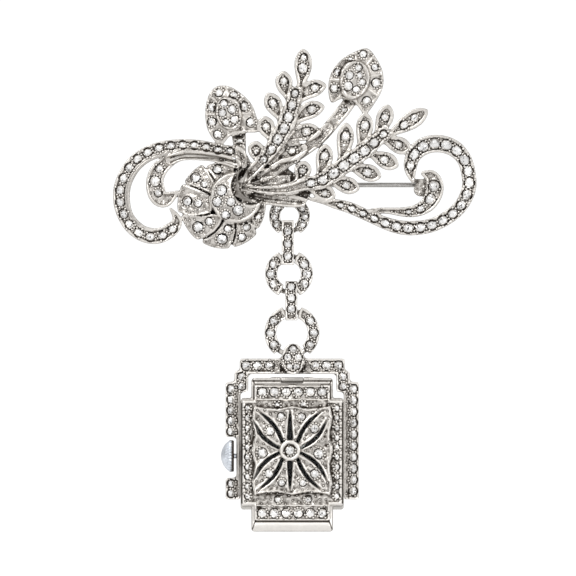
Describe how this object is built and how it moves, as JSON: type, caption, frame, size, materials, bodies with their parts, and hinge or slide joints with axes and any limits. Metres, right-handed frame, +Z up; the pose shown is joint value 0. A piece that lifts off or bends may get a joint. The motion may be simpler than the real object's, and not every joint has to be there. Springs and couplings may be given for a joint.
{
  "type": "watch brooch",
  "caption": "Silver flower-spray brooch set with marcasites, with a short ring chain and a hanging watch under a hinged pierced cover.",
  "frame": {"origin": "on the pin's axis, half way between its hinge and its catch, where the garment is pinned", "axes": "+Z up, +X to the right as seen from the front, and the front faces -Y"},
  "size_m": [0.0606, 0.0095, 0.0806],
  "materials": {
    "silver": "satin silver, darkened in the recesses",
    "pin_steel": "drawn wire",
    "marcasite": "faceted and polished",
    "dial": "black enamel, with pale printed numerals",
    "hand_metal": "polished",
    "crystal": "clear",
    "crown_metal": "satin, bluish, with blackened ribs"
  },
  "bodies": {
    "spray": {"spray": "silver", "pin_rivet": "silver", "ring_top": "silver", "bar_upper": "silver", "ring_middle": "silver", "bar_lower": "silver", "ring_bottom": "silver", "stones_left_scroll": "marcasite", "stones_right_scroll": "marcasite", "stones_upper_leaf": "marcasite", "stones_right_leaf": "marcasite", "stones_buds": "marcasite", "stones_rose": "marcasite", "stones_chain": "marcasite"},
    "pin": {"pin_stem": "pin_steel"},
    "pendant": {"pendant_frame": "silver", "stones_frame": "marcasite", "watch_case": "silver", "dial": "dial", "hour_hand": "hand_metal", "minute_hand": "hand_metal", "crystal": "crystal"},
    "cover": {"cover": "silver", "stones_cover": "marcasite"},
    "crown": {"crown": "crown_metal"}
  },
  "joints": [
    {"name": "pin_hinge", "type": "hinge", "parent": "spray", "child": "pin", "pos_m": [-0.0157, 0, 0], "axis": [0, 0, 1], "range_deg": [0, 60]},
    {"name": "watch_swing", "type": "hinge", "parent": "spray", "child": "pendant", "pos_m": [-0.00033, -0.0016, -0.02829], "axis": [1, 0, 0], "range_deg": [-35, 35]},
    {"name": "cover_hinge", "type": "hinge", "parent": "pendant", "child": "cover", "pos_m": [-0.0003, -0.00385, -0.03245], "axis": [-1, 0, 0], "range_deg": [0, 90]},
    {"name": "crown_turn", "type": "hinge", "parent": "pendant", "child": "crown", "pos_m": [-0.01, -0.002, -0.04517], "axis": [1, 0, 0], "continuous": true}
  ]
}
